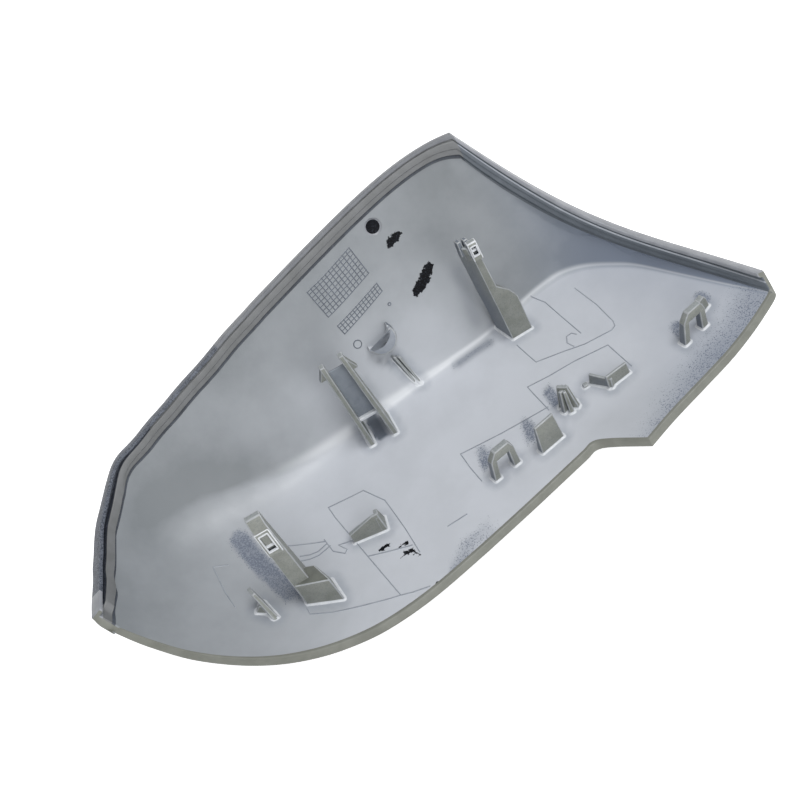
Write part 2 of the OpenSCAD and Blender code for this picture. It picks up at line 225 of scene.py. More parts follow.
def past_fold(x, y):
    """How far a plan point lies beyond the fold between the floor and the upper wall."""
    return y - curve(FOLD, x)


def face(x, y):
    """Height of the inner face over the plan."""
    sweep = OUTBOARD_RISE * (np.maximum(0, OUTBOARD_FROM - x) / OUTBOARD_RUN) ** 2.3
    bowl = (sweep + BOWL_ACROSS * (y - LOW_Y) ** 2 + BOWL_INBOARD * np.maximum(0, x - LOW_X) ** 2
            + BOWL_OUTBOARD * np.minimum(0, x - LOW_X) ** 2)
    run = curve(FOLD, x + 0.5) - curve(FOLD, x - 0.5)
    climb = curve(STEEP, x) / np.sqrt(1 + run * run) * past_fold(x, y)
    return bowl + (climb + np.sqrt(climb * climb + curve(SOFT, x) ** 2)) / 2


def unit(v):
    return v / np.linalg.norm(v, axis=-1, keepdims=True)


def normal(x, y):
    """Upright direction of the inner face."""
    return unit(np.stack([face(x - 0.3, y) - face(x + 0.3, y), face(x, y - 0.3) - face(x, y + 0.3),
                          np.full(np.shape(x), 0.6)], -1))


def on(p):
    """Lifts plan points onto the inner face."""
    return np.stack([p[..., 0], p[..., 1], face(p[..., 0], p[..., 1])], -1)


def edge(u, column, corner):
    """Lower edge or upper rim in plan along the stations, with one-sided slopes at the corner."""
    i = np.minimum(LAST - 1, np.floor(u).astype(int))
    t = (u - i)[..., None]
    p = SECTIONS[:, column:column + 2]
    middle = np.vstack([p[1] - p[0], (p[2:] - p[:-2]) / 2, p[-1] - p[-2]])
    leaving, reaching = middle.copy(), middle.copy()
    leaving[corner] = p[corner + 1] - p[corner]
    reaching[corner] = p[corner] - p[corner - 1]
    return ((2 * t**3 - 3 * t**2 + 1) * p[i] + (t**3 - 2 * t**2 + t) * leaving[i]
            + (3 * t**2 - 2 * t**3) * p[i + 1] + (t**3 - t**2) * reaching[i + 1])


def over(u, t):
    """Plan point at a station, from the lower edge at 0 to the upper rim at 1."""
    u, t = np.broadcast_arrays(u, t)
    low = edge(u, 0, NOTCH_STATION)
    return low + (edge(u, 2, HORN_STATION) - low) * t[..., None]


def ramp(x, a, b):
    """A smooth step from 0 to 1 between a and b."""
    t = np.clip((x - a) / (b - a), 0, 1)
    return t * t * (3 - 2 * t)


def rounded(corners, radii, cuts=4):
    """Rounds the corners of an open line of points in a plane."""
    out = []
    for k, (c, r) in enumerate(zip(corners, radii)):
        c = np.array(c, float)
        if r == 0 or k in (0, len(corners) - 1):
            out.append(c)
            continue
        before, after = np.array(corners[k - 1], float) - c, np.array(corners[k + 1], float) - c
        a = c + before / np.linalg.norm(before) * min(r, np.linalg.norm(before) * 0.48)
        b = c + after / np.linalg.norm(after) * min(r, np.linalg.norm(after) * 0.48)
        out += [(1 - t)**2 * a + 2 * t * (1 - t) * c + t * t * b for t in np.linspace(0, 1, cuts)]
    return out


RIB_LOSS = 0.3
STATION_CUTS = 9
FLOOR_ROWS = 30
WALL_ROWS = 24
stations = np.concatenate([np.arange(0, LAST, 1 / STATION_CUTS), [LAST]])
low_t, high_t = np.zeros(len(stations)), np.ones(len(stations))
for _ in range(20):
    mid = (low_t + high_t) / 2
    p = over(stations, mid)
    above = past_fold(p[:, 0], p[:, 1]) > 0
    low_t, high_t = np.where(above, low_t, mid), np.where(above, mid, high_t)
fold_t = np.clip((low_t + high_t) / 2, 0.1, 0.9)


def ring(u, f):
    """One closed section of the skin, and the middle of the wall beside each of its points."""
    def at(t, h):
        p = over(np.full(len(t), float(u)), np.array(t, float))
        return on(p) + np.array(h)[:, None] * normal(p[:, 0], p[:, 1])
    a, b = on(over(np.array([min(LAST, u + 0.04), max(0, u - 0.04)]), np.array([1.0, 1.0])))
    c0, c1, e0, e1 = at([0, 0.02, 0.98, 1], [0, 0, 0, 0])
    reach = np.linalg.norm(e1 - e0) / 0.02 * np.linalg.norm(np.cross(unit(a - b), unit(e1 - e0)))
    low_reach = np.linalg.norm(c1 - c0) / 0.02
    narrow = 1 - RIB_LOSS * ramp(u, HORN_STATION, HORN_STATION + 1.5)
    band = LIP_WIDTH + GROOVE_WIDTH + RIB_WIDTH * narrow + 2 * DRAFT
    k = 1 / reach
    f = max(0.1, min(f, 1 - 1.25 * (band + 1) * k))
    # The rib stops short of both corners, and the lip is highest at the outboard end
    rib = ramp(u, 0.6, 0.9) * (1 - ramp(u, LAST - 0.85, LAST - 0.6))
    away = ramp(u, 3.5, 5) * (1 - ramp(u, LAST - 0.85, LAST - 0.6))
    lip = LIP_HEIGHT + LIP_EXTRA * (1 - ramp(u, 2, 4.5))
    seal = LIP_WIDTH + GROOVE_WIDTH + (0.3 - GROOVE_WIDTH) * away
    strip = band - DRAFT - STRIP_WIDTH * away - 0.25
    low_step = (RIB_HEIGHT - 0.3 * away) * rib
    bottom = (-GROOVE_DEPTH + (RIB_HEIGHT - 0.5 + GROOVE_DEPTH) * away) * rib - 0.01
    # The rim's profile from the wall to the back: how far in from its edge, and how high
    rim = np.array(rounded([(band + 1, 0), (band, 0), (band - DRAFT, low_step), (strip, low_step),
                            (strip - 0.1, RIB_HEIGHT * rib), (seal + DRAFT, RIB_HEIGHT * rib), (seal, bottom),
                            (LIP_WIDTH + 0.1, bottom), (LIP_WIDTH, lip), (0, lip), (0, -WALL), (2, -WALL)],
                           [0, 0.35, 0.35, 0.1, 0.1, 0.35, 0.3, 0.3, 0.3, 0.45, 0.6, 0]))
    t0 = 1.2 / low_reach
    floor = t0 + (f - t0) * (1 - (1 - np.linspace(0, 1, FLOOR_ROWS)) ** 1.8)
    wall = f + (1 - (band + 1) * k - f) * np.linspace(0, 1, WALL_ROWS)[1:-1] ** 1.7
    rows = np.concatenate([floor, wall])
    back = np.concatenate([[1 - 3.4 * k, 1 - 5 * k], rows[::-1][2:]])
    inwards, n = unit(c1 - c0), normal(c0[0], c0[1])
    lower = rounded([(0.9, -WALL), (-EDGE_SLANT, -WALL), (0, 0), (0.9, 0)], [0, 0.6, 0.45, 0])[1:-1]
    foot = np.array([c0 + d * inwards + h * n for d, h in lower])
    points = np.vstack([at(rows, 0 * rows), at(1 - rim[:, 0] * k, rim[:, 1]), at(back, 0 * back - WALL),
                        foot])
    core_t = np.concatenate([rows, 1 - np.maximum(rim[:, 0], 1.2) * k, back, np.full(len(foot), t0)])
    return points, at(core_t, 0 * core_t - WALL / 2), (len(rows), len(rim), len(back), len(foot))


made = [ring(u, f) for u, f in zip(stations, fold_t)]
rings = np.array([m[0] for m in made])
cores = np.array([m[1] for m in made])
n_inner, n_rim, n_outer, n_foot = made[0][2]
# The skin near the upper rim runs smoothly from station to station, on each side of the horn
near_rim = np.concatenate([ramp(np.linspace(0, 1, WALL_ROWS)[1:-1], 0.95, 1), np.ones(n_rim),
                           ramp(np.linspace(1, 0, WALL_ROWS)[1:-1], 0.95, 1)])
columns = np.arange(n_inner - WALL_ROWS + 2, n_inner + n_rim + WALL_ROWS - 2)
SMOOTH_FROM = 8
SMOOTH_STATIONS = 0.75
reach_out = 2 * STATION_CUTS
bell = np.exp(-0.5 * (np.arange(-reach_out, reach_out + 1) / (SMOOTH_STATIONS * STATION_CUTS)) ** 2)
bell /= bell.sum()
horn = HORN_STATION * STATION_CUTS
for side in (slice(SMOOTH_FROM * STATION_CUTS, horn + 1), slice(horn, len(rings))):
    part = rings[side][:, columns]
    before, after = 2 * part[:1] - part[reach_out:0:-1], 2 * part[-1:] - part[-2:-2 - reach_out:-1]
    padded = np.concatenate([before, part, after])
    smooth = sum(b * padded[i:i + len(part)] for i, b in enumerate(bell))
    rings[side.start:side.stop, columns] = part + (smooth - part) * near_rim[:, None]
# The two short ends slant outwards like the lower edge, and their corners are eased
depth = np.concatenate([np.zeros(n_inner + n_rim - 6), np.linspace(0, 1, 6), np.ones(n_outer),
                        np.linspace(1, 0, n_foot)])
END_EASE = 0.35
first, final = unit(rings[0] - rings[2]), unit(rings[-1] - rings[-3])
slanted = np.concatenate([np.ones(n_inner), np.zeros(n_rim - 1), [0.6], np.ones(n_outer + n_foot)])
slant_share = (depth * slanted)[:, None]
rings[0] += EDGE_SLANT * slant_share * first
inset_first = rings[0] + END_EASE * unit(cores[0] - rings[0])
inset_final = rings[-1] + END_EASE * unit(cores[-1] - rings[-1])
rings[0] -= END_EASE * first
rings[-1] -= END_EASE * final
rings = np.concatenate([[inset_first], rings, [inset_final]])

# Grey primer, sprayed from above over grey ABS: thin and dark at the outboard end, full in the middle,
# with dry blue-grey overspray beside the clips. Semi-gloss with a fine orange peel.
PRIMER_THIN = "#787d81"
PRIMER_THIN_INBOARD = "#7f8898"
PRIMER_FULL = "#c3c7ce"
# Pooled primer, also used as a painted highlight in the fold and at the roots of the clips
PRIMER_POOLED_AND_HIGHLIGHT = "#d9dce0"
# Painted shade in a soft ring around the foot of each clip
PRIMER_PAINTED_SHADE_RING = "#7a828f"
# Painted shade beside and under the clips, also used for the dark smudge by the fold
PRIMER_PAINTED_SHADE_AND_SMUDGE = "#525a67"
PRIMER_DUST = "#626c7e"
PRIMER_DRY = "#454e60"
MARKER_INK = "#07080b"
MARKER_RUBBED = "#23262d"
# Pattern sizes in metres: clouds from passes of the gun, streaks, droplets, peel and the ink's ragged edge.
# Droplets and peel are drawn coarser than the real 0.1 and 0.3 mm, which would not show.
CLOUD_SIZE = 0.022
STREAK_SIZE = 0.006
SPECKLE_SIZE = 0.0005
PEEL_SIZE = 0.0007
RAGGED_SIZE = 0.0013
PEEL_LIFT = {"Strength": 0.25, "Distance": 0.00004}
PAINT_IOR = 1.49
SMOOTH = {"interpolation_type": "SMOOTHSTEP"}
primer, tree = fresh_material("grey_primer_on_abs")
place = add(tree, "TexCoord").outputs["Object"]
cloud, streak, speckle, peel, tooth = [
    add(tree, "TexNoise", Vector=place, Scale=1 / size, Detail=detail, Roughness=rough)
    for size, detail, rough in ((CLOUD_SIZE, 4, 0.6), (STREAK_SIZE, 3, 0.6), (SPECKLE_SIZE, 2, 0.7),
                                (PEEL_SIZE, 2, 0.5), (RAGGED_SIZE, 3, 0.7))]
tone_at, crease_at, root_at, ink_at, dry_at, shade_at = [
    add(tree, "Attribute", {"attribute_name": name}).outputs["Fac"]
    for name in ("tone", "crease", "root", "ink", "dry", "shade")]
along = add(tree, "SeparateXYZ", Vector=place).outputs["X"]
# Each share: what it is read from, where it starts and ends, and its strength at both
shares = {
    "clouds": (cloud, 0.3, 0.7, -0.06, 0.06), "inboard": (along, 0.05, 0.1, 0, 1),
    "sheen and pooled primer in the fold": (crease_at, 0.1, 1, 0, 0.75), "painted shade around a clip": (root_at, 1, 4.5, 0.34, 0),
    "streaks": (streak, 0.25, 0.7, 0.5, 1.2), "highlight and pooled primer at a root": (root_at, 0.15, 0.7, 0.8, 0),
    "painted shade beside a clip and smudge": (shade_at, 0, 1, 0, 0.9), "dry patches": (streak, 0.35, 0.6, 0.45, 0.66),
    "droplets": (speckle, 0.25, 0.75, 0, 1), "dust": (dry_at, 0.1, 1, 0, 0.55),
    "gloss": (streak, 0.2, 0.8, 0.36, 0.5), "rubbed ink": (speckle, 0.52, 0.62, 0, 1)}
share = {name: add(tree, "MapRange", SMOOTH, i0=source, i1=low, i2=high, i3=at_low, i4=at_high)
         for name, (source, low, high, at_low, at_high) in shares.items()}
tone_share = add(tree, "Math", {"operation": "ADD", "use_clamp": True}, i0=tone_at, i1=share["clouds"])
painted_shade_ring = add(tree, "Math", {"operation": "MULTIPLY"}, i0=share["painted shade around a clip"], i1=share["streaks"])
patches = add(tree, "Math", {"operation": "MULTIPLY"}, i0=dry_at, i1=share["dry patches"])
bare = add(tree, "Math", {"operation": "SUBTRACT"}, i0=1.02, i1=patches)
drop = add(tree, "Math", {"operation": "GREATER_THAN"}, i0=share["droplets"], i1=bare)
drops = add(tree, "Math", {"operation": "MULTIPLY"}, i0=drop, i1=0.7)
colour = PRIMER_THIN
for how_much, coat in ((share["inboard"], PRIMER_THIN_INBOARD), (tone_share, PRIMER_FULL),
                       (share["sheen and pooled primer in the fold"], PRIMER_POOLED_AND_HIGHLIGHT), (painted_shade_ring, PRIMER_PAINTED_SHADE_RING),
                       (share["highlight and pooled primer at a root"], PRIMER_POOLED_AND_HIGHLIGHT),
                       (share["painted shade beside a clip and smudge"], PRIMER_PAINTED_SHADE_AND_SMUDGE), (drops, PRIMER_DRY),
                       (share["dust"], PRIMER_DUST)):
    colour = add(tree, "Mix", COLOUR_MIX, i0=how_much, i6=colour, i7=coat)
middle = add(tree, "Math", {"operation": "SUBTRACT"}, i0=tooth, i1=0.5)
raggedness = add(tree, "Math", {"operation": "MULTIPLY"}, i0=middle, i1=3.4)
ragged = add(tree, "Math", {"operation": "ADD"}, i0=ink_at, i1=raggedness)
ink = add(tree, "MapRange", SMOOTH, i0=ragged, i1=1.9, i2=2.1, i3=1.0, i4=0.0)
ink_colour = add(tree, "Mix", COLOUR_MIX, i0=share["rubbed ink"], i6=MARKER_INK, i7=MARKER_RUBBED)
bump = add(tree, "Bump", Height=peel, **PEEL_LIFT)
painted = add(tree, "BsdfPrincipled", Base_Color=colour, Roughness=share["gloss"], IOR=PAINT_IOR,
              Normal=bump)
inked = add(tree, "BsdfPrincipled", Base_Color=ink_colour, Roughness=0.6, IOR=1.2, Normal=bump)
sprayed = add(tree, "MixShader", i0=ink, i1=painted, i2=inked)
add(tree, "OutputMaterial", Surface=sprayed)


def plain_finish(name, low, high, roughness, size=0.004, spots=None, spot_share=0.5, ior=PAINT_IOR):
    """A finish with soft mottling between two colours, a fine peel, and spots of a third colour if given."""
    material, tree = fresh_material(name)
    place = add(tree, "TexCoord").outputs["Object"]
    mottle = add(tree, "TexNoise", Vector=place, Scale=1 / size, Detail=3, Roughness=0.6)
    mottled = add(tree, "MapRange", SMOOTH, i0=mottle, i1=0.3, i2=0.7)
    colour = add(tree, "Mix", COLOUR_MIX, i0=mottled, i6=low, i7=high)
    if spots:
        speckle = add(tree, "TexNoise", Vector=place, Scale=1 / SPECKLE_SIZE, Detail=2, Roughness=0.7)
        grain = add(tree, "MapRange", SMOOTH, i0=speckle, i1=0.3, i2=0.7)
        spot = add(tree, "Math", {"operation": "GREATER_THAN"}, i0=grain, i1=1 - spot_share)
        colour = add(tree, "Mix", COLOUR_MIX, i0=spot, i6=colour, i7=spots)
    peel = add(tree, "TexNoise", Vector=place, Scale=1 / PEEL_SIZE, Detail=2, Roughness=0.5)
    bump = add(tree, "Bump", Height=peel, **PEEL_LIFT)
    look = add(tree, "BsdfPrincipled", Base_Color=colour, Roughness=roughness, IOR=ior, Normal=bump)
    add(tree, "OutputMaterial", Surface=look)
    return material


# The cut edge and the rib keep the olive tone of moulded ABS, the lip has caught dry dark overspray
edge_abs = plain_finish("moulded_abs_edge", "#6e7069", "#797b74", 0.42, 0.007)
rib_abs = plain_finish("moulded_abs_rib", "#646667", "#6e7072", 0.42, 0.006)
# Painted shade on the rib, its foot and the groove inboard of the horn
rib_painted_shade = plain_finish("painted_shade_on_the_inboard_rim", "#545b63", "#5e656d", 0.42, 0.006)
# Full primer on the lip, also used as a painted highlight on the lip inboard of the horn and on the recess
# rim
lip_primer_and_highlight = plain_finish("lip_with_full_primer_and_painted_highlight", "#84878d", "#93969c", 0.38, 0.005)
# Painted highlight on the edge of the rib inboard of the horn, where it faces the key light
rib_edge_highlight = plain_finish("painted_highlight_on_the_rib_edge", "#8b9098", "#9a9fa7", 0.4, 0.005)
# Painted shade: the dark line in the corner at the foot of the rib
rib_foot_painted_shade = plain_finish("painted_shade_at_the_rib_foot", "#363b43", "#4a5059", 0.5, 0.004)
lip_faded = plain_finish("lip_with_thin_overspray", "#686b71", "#74777c", 0.45, 0.004)
lip_dry = plain_finish("lip_with_dry_overspray", "#4d535e", "#636974", 0.5, 0.003, "#31363f", 0.4)
# The groove: painted shade in the deep slot, with specks of dry dark overspray
groove_shade_and_overspray = plain_finish("seal_groove_painted_shade_and_dry_overspray", "#343943", "#464c57", 0.6, 0.003, "#20242c", 0.4)
outer_primer = plain_finish("outer_grey_primer", "#8d9194", "#94989b", 0.38, 0.02)


def solid(name, points, faces, finishes):
    """A closed mesh with its faces turned outwards and one finish per face."""
    mesh = bpy.data.meshes.new(name)
    mesh.from_pydata(np.asarray(points).tolist(), [], faces)
    used = list(dict.fromkeys(finishes))
    for material in used:
        mesh.materials.append(material)
    mesh.polygons.foreach_set("material_index", np.array([used.index(f) for f in finishes], np.int32))
    shape = bmesh.new()
    shape.from_mesh(mesh)
    bmesh.ops.recalc_face_normals(shape, faces=shape.faces)
    if shape.calc_volume(signed=True) < 0:
        bmesh.ops.reverse_faces(shape, faces=shape.faces)
    bmesh.ops.triangulate(shape, faces=[f for f in shape.faces if len(f.verts) > 4])
    shape.to_mesh(mesh)
    shape.free()
    thing = bpy.data.objects.new(name, mesh)
    bpy.context.scene.collection.objects.link(thing)
    return thing


def loft(name, sections, finish):
    """A solid through a stack of closed sections; finish gives the material of level i and column j."""
    n, m = len(sections[0]), len(sections)
    faces, finishes = [], []
    for i in range(m - 1):
        for j in range(n):
            a, b = i * n + j, i * n + (j + 1) % n
            faces.append((a, b, b + n, a + n))
            finishes.append(finish(i, j))
    faces += [tuple(range(n))[::-1], tuple(range((m - 1) * n, m * n))]
    finishes += [finish(0, -1), finish(m - 2, -1)]
    return solid(name, np.vstack(sections), faces, finishes)


def merge(base, tool, how="UNION"):
    """Joins or cuts one solid with another, and keeps the finishes of both."""
    step = base.modifiers.new("merge", "BOOLEAN")
    step.operation, step.solver, step.material_mode, step.object = how, "MANIFOLD", "TRANSFER", tool
    mesh = bpy.data.meshes.new_from_object(base.evaluated_get(bpy.context.evaluated_depsgraph_get()))
    base.modifiers.clear()
    base.data = mesh
    bpy.data.objects.remove(tool)
    return base


# Ring columns from the inner face over the rim: painted shade at the foot, low step and rib, groove, lip,
# outer edge, then the back and the lower edge. Away from the outboard end the groove loses its painted shade
# and its dark overspray, and the lip its dark spray.
RIM_FINISHES = ([rib_foot_painted_shade] * 6 + [rib_abs] * 11 + [rib_edge_highlight] * 3 + [groove_shade_and_overspray] * 11 + [lip_dry] * 9
                + [outer_primer] * 2)
ring_finishes = [primer] * n_inner + RIM_FINISHES + [outer_primer] * n_outer + [edge_abs] * n_foot
# What each finish of the rim turns into, and up to which station. Inboard of the horn the rib's edge and
# the lip are painted light as highlights, and the rest of the rim painted in shade
FADES = {groove_shade_and_overspray: [(0.7, lip_primer_and_highlight), (5.2, groove_shade_and_overspray), (HORN_STATION, rib_abs), (LAST, rib_painted_shade)],
         rib_abs: [(HORN_STATION, rib_abs), (LAST, rib_painted_shade)],
         rib_foot_painted_shade: [(HORN_STATION, rib_foot_painted_shade), (LAST, rib_painted_shade)],
         rib_edge_highlight: [(HORN_STATION, rib_abs), (LAST, rib_edge_highlight)],
         lip_dry: [(0.9, lip_primer_and_highlight), (7, lip_dry), (HORN_STATION, lip_faded), (LAST, lip_primer_and_highlight)]}


def skin_finish(i, j):
    finish = edge_abs if j < 0 else ring_finishes[j]
    return next(f for end, f in FADES.get(finish, [(LAST, finish)]) if (i - 1) / STATION_CUTS <= end)


cover = loft("cover_moulding", rings, skin_finish)


# The two tall hooks: upright posts moulded with the skin, each with a windowed head that a bezel tongue
# snaps over. Where a post meets the skin, the mould tool leaves a small round root.
HOOK_HEIGHT = 50
HOOK_WIDTH = 4.4
HOOK_DEPTH = 9.6
INBOARD_FOOT = 9
OUTBOARD_FOOT = 13.6
HEAD_REACH = 1.8
WINDOW_WIDTH = 3.0
SUNK = 1.2
ROOT_RADIUS = 0.65
# Clip faces keep moulded ABS where the spray came edge on. Faces turned outboard are painted darker as shade,
# faces turned up painted lighter as light from above, and edges and roots painted bright as highlights,
# over pooled primer at the roots.
clip_abs, tree = fresh_material("moulded_abs_clip")
local = add(tree, "TexCoord").outputs
facing = add(tree, "SeparateXYZ", Vector=local["Normal"]).outputs
mottle, speckle, peel = [
    add(tree, "TexNoise", Vector=local["Object"], Scale=1 / size, Detail=detail, Roughness=rough)
    for size, detail, rough in ((0.005, 3, 0.6), (SPECKLE_SIZE, 2, 0.7), (PEEL_SIZE, 2, 0.5))]
mottled, outboard, upwards, grain = [
    add(tree, "MapRange", SMOOTH, i0=source, i1=low, i2=high, i3=at_low, i4=at_high)
    for source, low, high, at_low, at_high in ((mottle, 0.3, 0.7, 0, 1), (facing["X"], -1, -0.75, 1, 0),
                                               (facing["Z"], 0.5, 0.9, 0, 1), (speckle, 0.3, 0.7, 0, 1))]
speck = add(tree, "Math", {"operation": "GREATER_THAN"}, i0=grain, i1=0.72)
specks = add(tree, "Math", {"operation": "MULTIPLY"}, i0=speck, i1=0.25)
colour = "#7b7e78"
# Faces turned outboard, away from the key light, get painted shade; faces turned up get painted light
for how_much, coat in ((mottled, "#878a85"), (outboard, "#6c737e"), (upwards, "#8d9293"),
                       (specks, "#4f5661")):
    colour = add(tree, "Mix", COLOUR_MIX, i0=how_much, i6=colour, i7=coat)
bump = add(tree, "Bump", Height=peel, **PEEL_LIFT)
look = add(tree, "BsdfPrincipled", Base_Color=colour, Roughness=0.42, IOR=PAINT_IOR, Normal=bump)
add(tree, "OutputMaterial", Surface=look)
# Painted highlight along the eased edges of the clips
edge_painted_highlight = plain_finish("painted_highlight_on_clip_edges", "#94989b", "#a9adb0", 0.4, 0.003)
# Pooled primer with a painted highlight: roots, window frames and tongues, the snap shelf, the cradle hollow
root_primer_and_highlight = plain_finish("pooled_primer_and_painted_highlight", "#c4c8cd", "#d6d9dd", 0.36, 0.003)
# Painted shade on clip faces set back or turned away: the prongs behind the inboard head, the cradle's outer
# side
clip_painted_shade = plain_finish("painted_shade_on_clip_faces", "#5f666f", "#6e757e", 0.42, 0.004)
foot_top = plain_finish("moulded_abs_in_a_sink", "#585b56", "#666963", 0.45, 0.004)
# Painted shade on the web, which stands back between the blades
web_painted_shade = plain_finish("painted_shade_on_the_web", "#737a83", "#818891", 0.42, 0.004)
# Painted shade inside the windows of the hook heads
window_painted_shade = plain_finish("painted_shade_inside_a_window", "#30353d", "#3e444c", 0.5, 0.003)


def seat(x, y, turn=0):
    """Puts local points on the skin at a plan place, turned about their own upright."""
    a = math.radians(turn)
    spin = np.array([[math.cos(a), -math.sin(a), 0], [math.sin(a), math.cos(a), 0], [0, 0, 1]])
    origin = np.array([x, y, float(face(x, y))])
    return lambda p: np.asarray(p, float) @ spin.T + origin


def full(box):
    """Adds how far the back left and back right corners are moved along X, when the list leaves them out."""
    return list(box[:5]) + (list(box[5:]) * 2)[:2] if len(box) > 5 else list(box) + [0, 0]


def level_of(boxes, z):
    """The box of a bar at one height, between the levels that are given."""
    return [np.interp(z, boxes[:, 4], column) for column in boxes.T]


def outline(box, inset, ease):
    """A level outline with eased corners, drawn in by the inset."""
    x0, x1, y0, y1, _, left, right = box
    corners = np.array([[x1 + right, y1], [x0 + left, y1], [x0, y0], [x1, y0]])
    sides = np.roll(corners, -1, 0) - corners
    r = max(0.04, min(ease - inset, np.linalg.norm(sides, axis=1).min() * 0.45 - inset))
    outwards = unit(np.stack([sides[:, 1], -sides[:, 0]], -1))
    points = []
    for k in range(4):
        pair = np.array([outwards[k - 1], outwards[k]])
        centre = np.linalg.solve(pair, pair @ corners[k] - inset - r)
        start, stop = np.arctan2(pair[:, 1], pair[:, 0])
        turn = (stop - start) % (2 * math.pi)
        angles = [start + turn * t for t in (0, 1 / 3, 2 / 3, 1)]
        points += [centre + r * np.array([math.cos(a), math.sin(a)]) for a in angles]
    return np.array(points)


def clip_finish(level_count, flat, edge_look, cap):
    """Eased corners and top edges take a lighter finish than the flat faces: a painted highlight."""
    return lambda i, j: (cap or flat) if j < 0 else (flat if j % 4 == 3 and i < level_count else edge_look)


def bar(place, *boxes, ease=0.35, on_skin=True, flat=clip_abs, edge_look=edge_painted_highlight, cap=None):
    """A bar through level outlines, each X from, X to, Y from, Y to, Z, with eased edges."""
    boxes = np.array([full(b) for b in boxes], float)
    low, high = boxes[0, 4], boxes[-1, 4]
    ends = [(ease * (1 - math.sin(t)), ease * (1 - math.cos(t))) for t in np.radians([0, 30, 60, 90])]
    levels = [(z, 0.0) for z in boxes[:-1, 4]] + [(low + (high - ease - low) * 0.5, 0.0)] * (len(boxes) == 2)
    levels += [(high - down, inset) for down, inset in ends]
    if not on_skin:
        levels = [(low + up, inset) for up, inset in ends[::-1]] + levels[1:]
    sections = []
    for z, inset in levels:
        line = outline(level_of(boxes, z), inset, ease)
        sections.append(place(np.c_[line, np.full(len(line), z)]))
    if on_skin:
        sections[0][:, 2] = face(sections[0][:, 0], sections[0][:, 1]) - SUNK
        for k in range(1, len(sections)):
            sections[k][:, 2] = np.maximum(sections[k][:, 2], sections[k - 1][:, 2] + 0.02)
    return loft("bar", sections, clip_finish(len(sections) - 4, flat, edge_look, cap))


foot_rings = []


def foot_line(place, boxes, out):
    """Where a bar meets the skin, widened by a distance."""
    ground = place(np.zeros((1, 3)))[0, 2]
    z = np.zeros(16)
    for _ in range(3):
        flat = np.array([outline(level_of(boxes, h), -out, 0.35)[i] for i, h in enumerate(z)])
        points = place(np.c_[flat, z])
        z = np.clip(face(points[:, 0], points[:, 1]) - ground, boxes[0, 4], boxes[-1, 4])
    return on(points)


def root(place, boxes, radius=ROOT_RADIUS):
    """The round root where a bar leaves the skin."""
    boxes = np.array([full(b) for b in boxes], float)
    arc = np.radians([0, 18, 36, 54, 72, 84])
    steps = [(radius + 0.25, -0.5)]
    steps += [(radius * (1 - math.sin(t)) + 0.02, radius * (1 - math.cos(t))) for t in arc]
    steps += [(-0.25, radius * 0.92)]
    rim_line = foot_line(place, boxes, 0.02)
    spread_line = foot_line(place, boxes, 1.02)
    sections = [rim_line + (spread_line - rim_line) * (out - 0.02) + [0, 0, up] for out, up in steps]
    sections = [np.c_[s[:, :2], face(s[:, 0], s[:, 1]) + up] for s, (_, up) in zip(sections, steps)]
    edge_line = rim_line + (spread_line - rim_line) * radius * 0.5
    onwards = np.roll(edge_line, -1, 0) - edge_line
    foot_rings.append(np.vstack([edge_line + onwards * t for t in (0, 0.25, 0.5, 0.75)]))
    return loft("root", sections, lambda i, j: root_primer_and_highlight)


def post(place, *boxes, radius=ROOT_RADIUS, **looks):
    """A bar on the skin with its root."""
    return [bar(place, *boxes, **looks), root(place, boxes, radius)]


def shifted(place, x, y, z):
    """A place moved along its own axes."""
    return lambda p: place(np.asarray(p, float) + [x, y, z])


def hook_head(place, w, low, high):
    """A barb with a square ledge, and a window in its sloping face with painted shade inside, and a frame
    and a tongue painted bright as highlights.
    """
    white = {"on_skin": False, "flat": root_primer_and_highlight, "edge_look": root_primer_and_highlight, "ease": 0.2}
    dark = {"on_skin": False, "flat": window_painted_shade, "edge_look": window_painted_shade, "ease": 0.2}
    front = lambda z: (HEAD_REACH + 0.4) * (z - low) / (high - low) - HEAD_REACH
    head = bar(place, [0, w, -HEAD_REACH, 2.5, low], [0, w, 0.4, 2.5, high], ease=0.4, on_skin=False,
               edge_look=root_primer_and_highlight)
    half, sill, lintel = WINDOW_WIDTH / 2 * w / 5, low + 2, high - 1.4
    a, b = w / 2 - half, w / 2 + half
    window = bar(place, [a, b, -HEAD_REACH - 1, 1.2, sill], [a, b, -HEAD_REACH - 1, 1.2, lintel], **dark)
    merge(head, window, "DIFFERENCE")
    stiles = [bar(place, [x - 0.25, x + 0.25, front(sill) - 0.3, front(sill) + 0.6, sill - 0.2],
                  [x - 0.25, x + 0.25, front(lintel) - 0.3, front(lintel) + 0.6, lintel + 0.2], **white)
              for x in (a, b)]
    rails = [bar(place, [a, b, front(z) - 0.3, front(z) + 0.6, z - 0.25],
                 [a, b, front(z) - 0.3, front(z) + 0.6, z + 0.3], **white) for z in (sill, lintel)]
    middle = sill + 1.6
    tongue = bar(place, [a, b, front(middle) + 0.5, front(middle) + 1.8, middle - 0.4],
                 [a, b, front(middle) + 0.9, front(middle) + 1.8, middle + 0.5], **white)
    return [head] + stiles + rails + [tongue]


